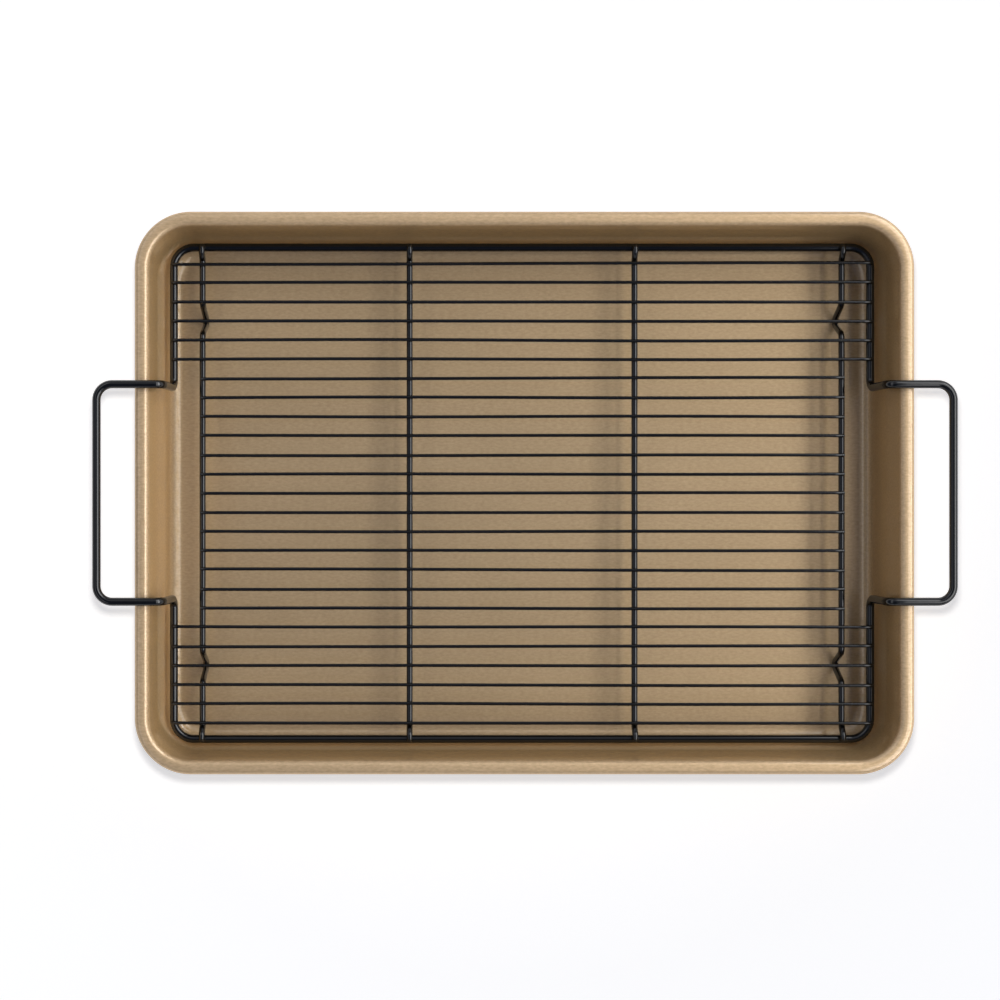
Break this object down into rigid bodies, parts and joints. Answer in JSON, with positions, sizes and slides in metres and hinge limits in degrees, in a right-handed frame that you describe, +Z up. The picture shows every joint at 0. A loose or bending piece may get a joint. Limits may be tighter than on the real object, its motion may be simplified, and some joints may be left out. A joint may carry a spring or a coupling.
{
  "type": "sheet pan with rack",
  "caption": "High-sided baking sheet pan with a rolled rim and a coated wire rack that lifts out by two looped end handles.",
  "frame": {"origin": "middle of the pan's flat underside", "axes": "+X along the pan towards the right handle, +Y across the pan, +Z up"},
  "size_m": [0.506, 0.331, 0.0576],
  "materials": {
    "champagne_coating": "satin non-stick coating with a metallic flake",
    "rim_wire_steel": "galvanised",
    "black_coating": "satin non-stick coating"
  },
  "bodies": {
    "pan": {"pan_shell": "champagne_coating", "rim_wire": "rim_wire_steel"},
    "rack": {"rack_frame_wire": "black_coating", "leg_wire_left": "black_coating", "leg_wire_right": "black_coating", "cross_support_left": "black_coating", "cross_support_right": "black_coating", "grid_wire_01": "black_coating", "grid_wire_02": "black_coating", "grid_wire_03": "black_coating", "grid_wire_04": "black_coating", "grid_wire_05": "black_coating", "grid_wire_06": "black_coating", "grid_wire_07": "black_coating", "grid_wire_08": "black_coating", "grid_wire_09": "black_coating", "grid_wire_10": "black_coating", "grid_wire_11": "black_coating", "grid_wire_12": "black_coating", "grid_wire_13": "black_coating", "grid_wire_14": "black_coating", "grid_wire_15": "black_coating", "grid_wire_16": "black_coating", "grid_wire_17": "black_coating", "grid_wire_18": "black_coating", "grid_wire_19": "black_coating", "grid_wire_20": "black_coating", "grid_wire_21": "black_coating", "grid_wire_22": "black_coating", "grid_wire_23": "black_coating", "grid_wire_24": "black_coating", "grid_wire_25": "black_coating"}
  },
  "joints": [
    {"name": "rack_lift", "type": "slide", "parent": "pan", "child": "rack", "axis": [0, 0, 1], "range_m": [0, 0.12]}
  ]
}
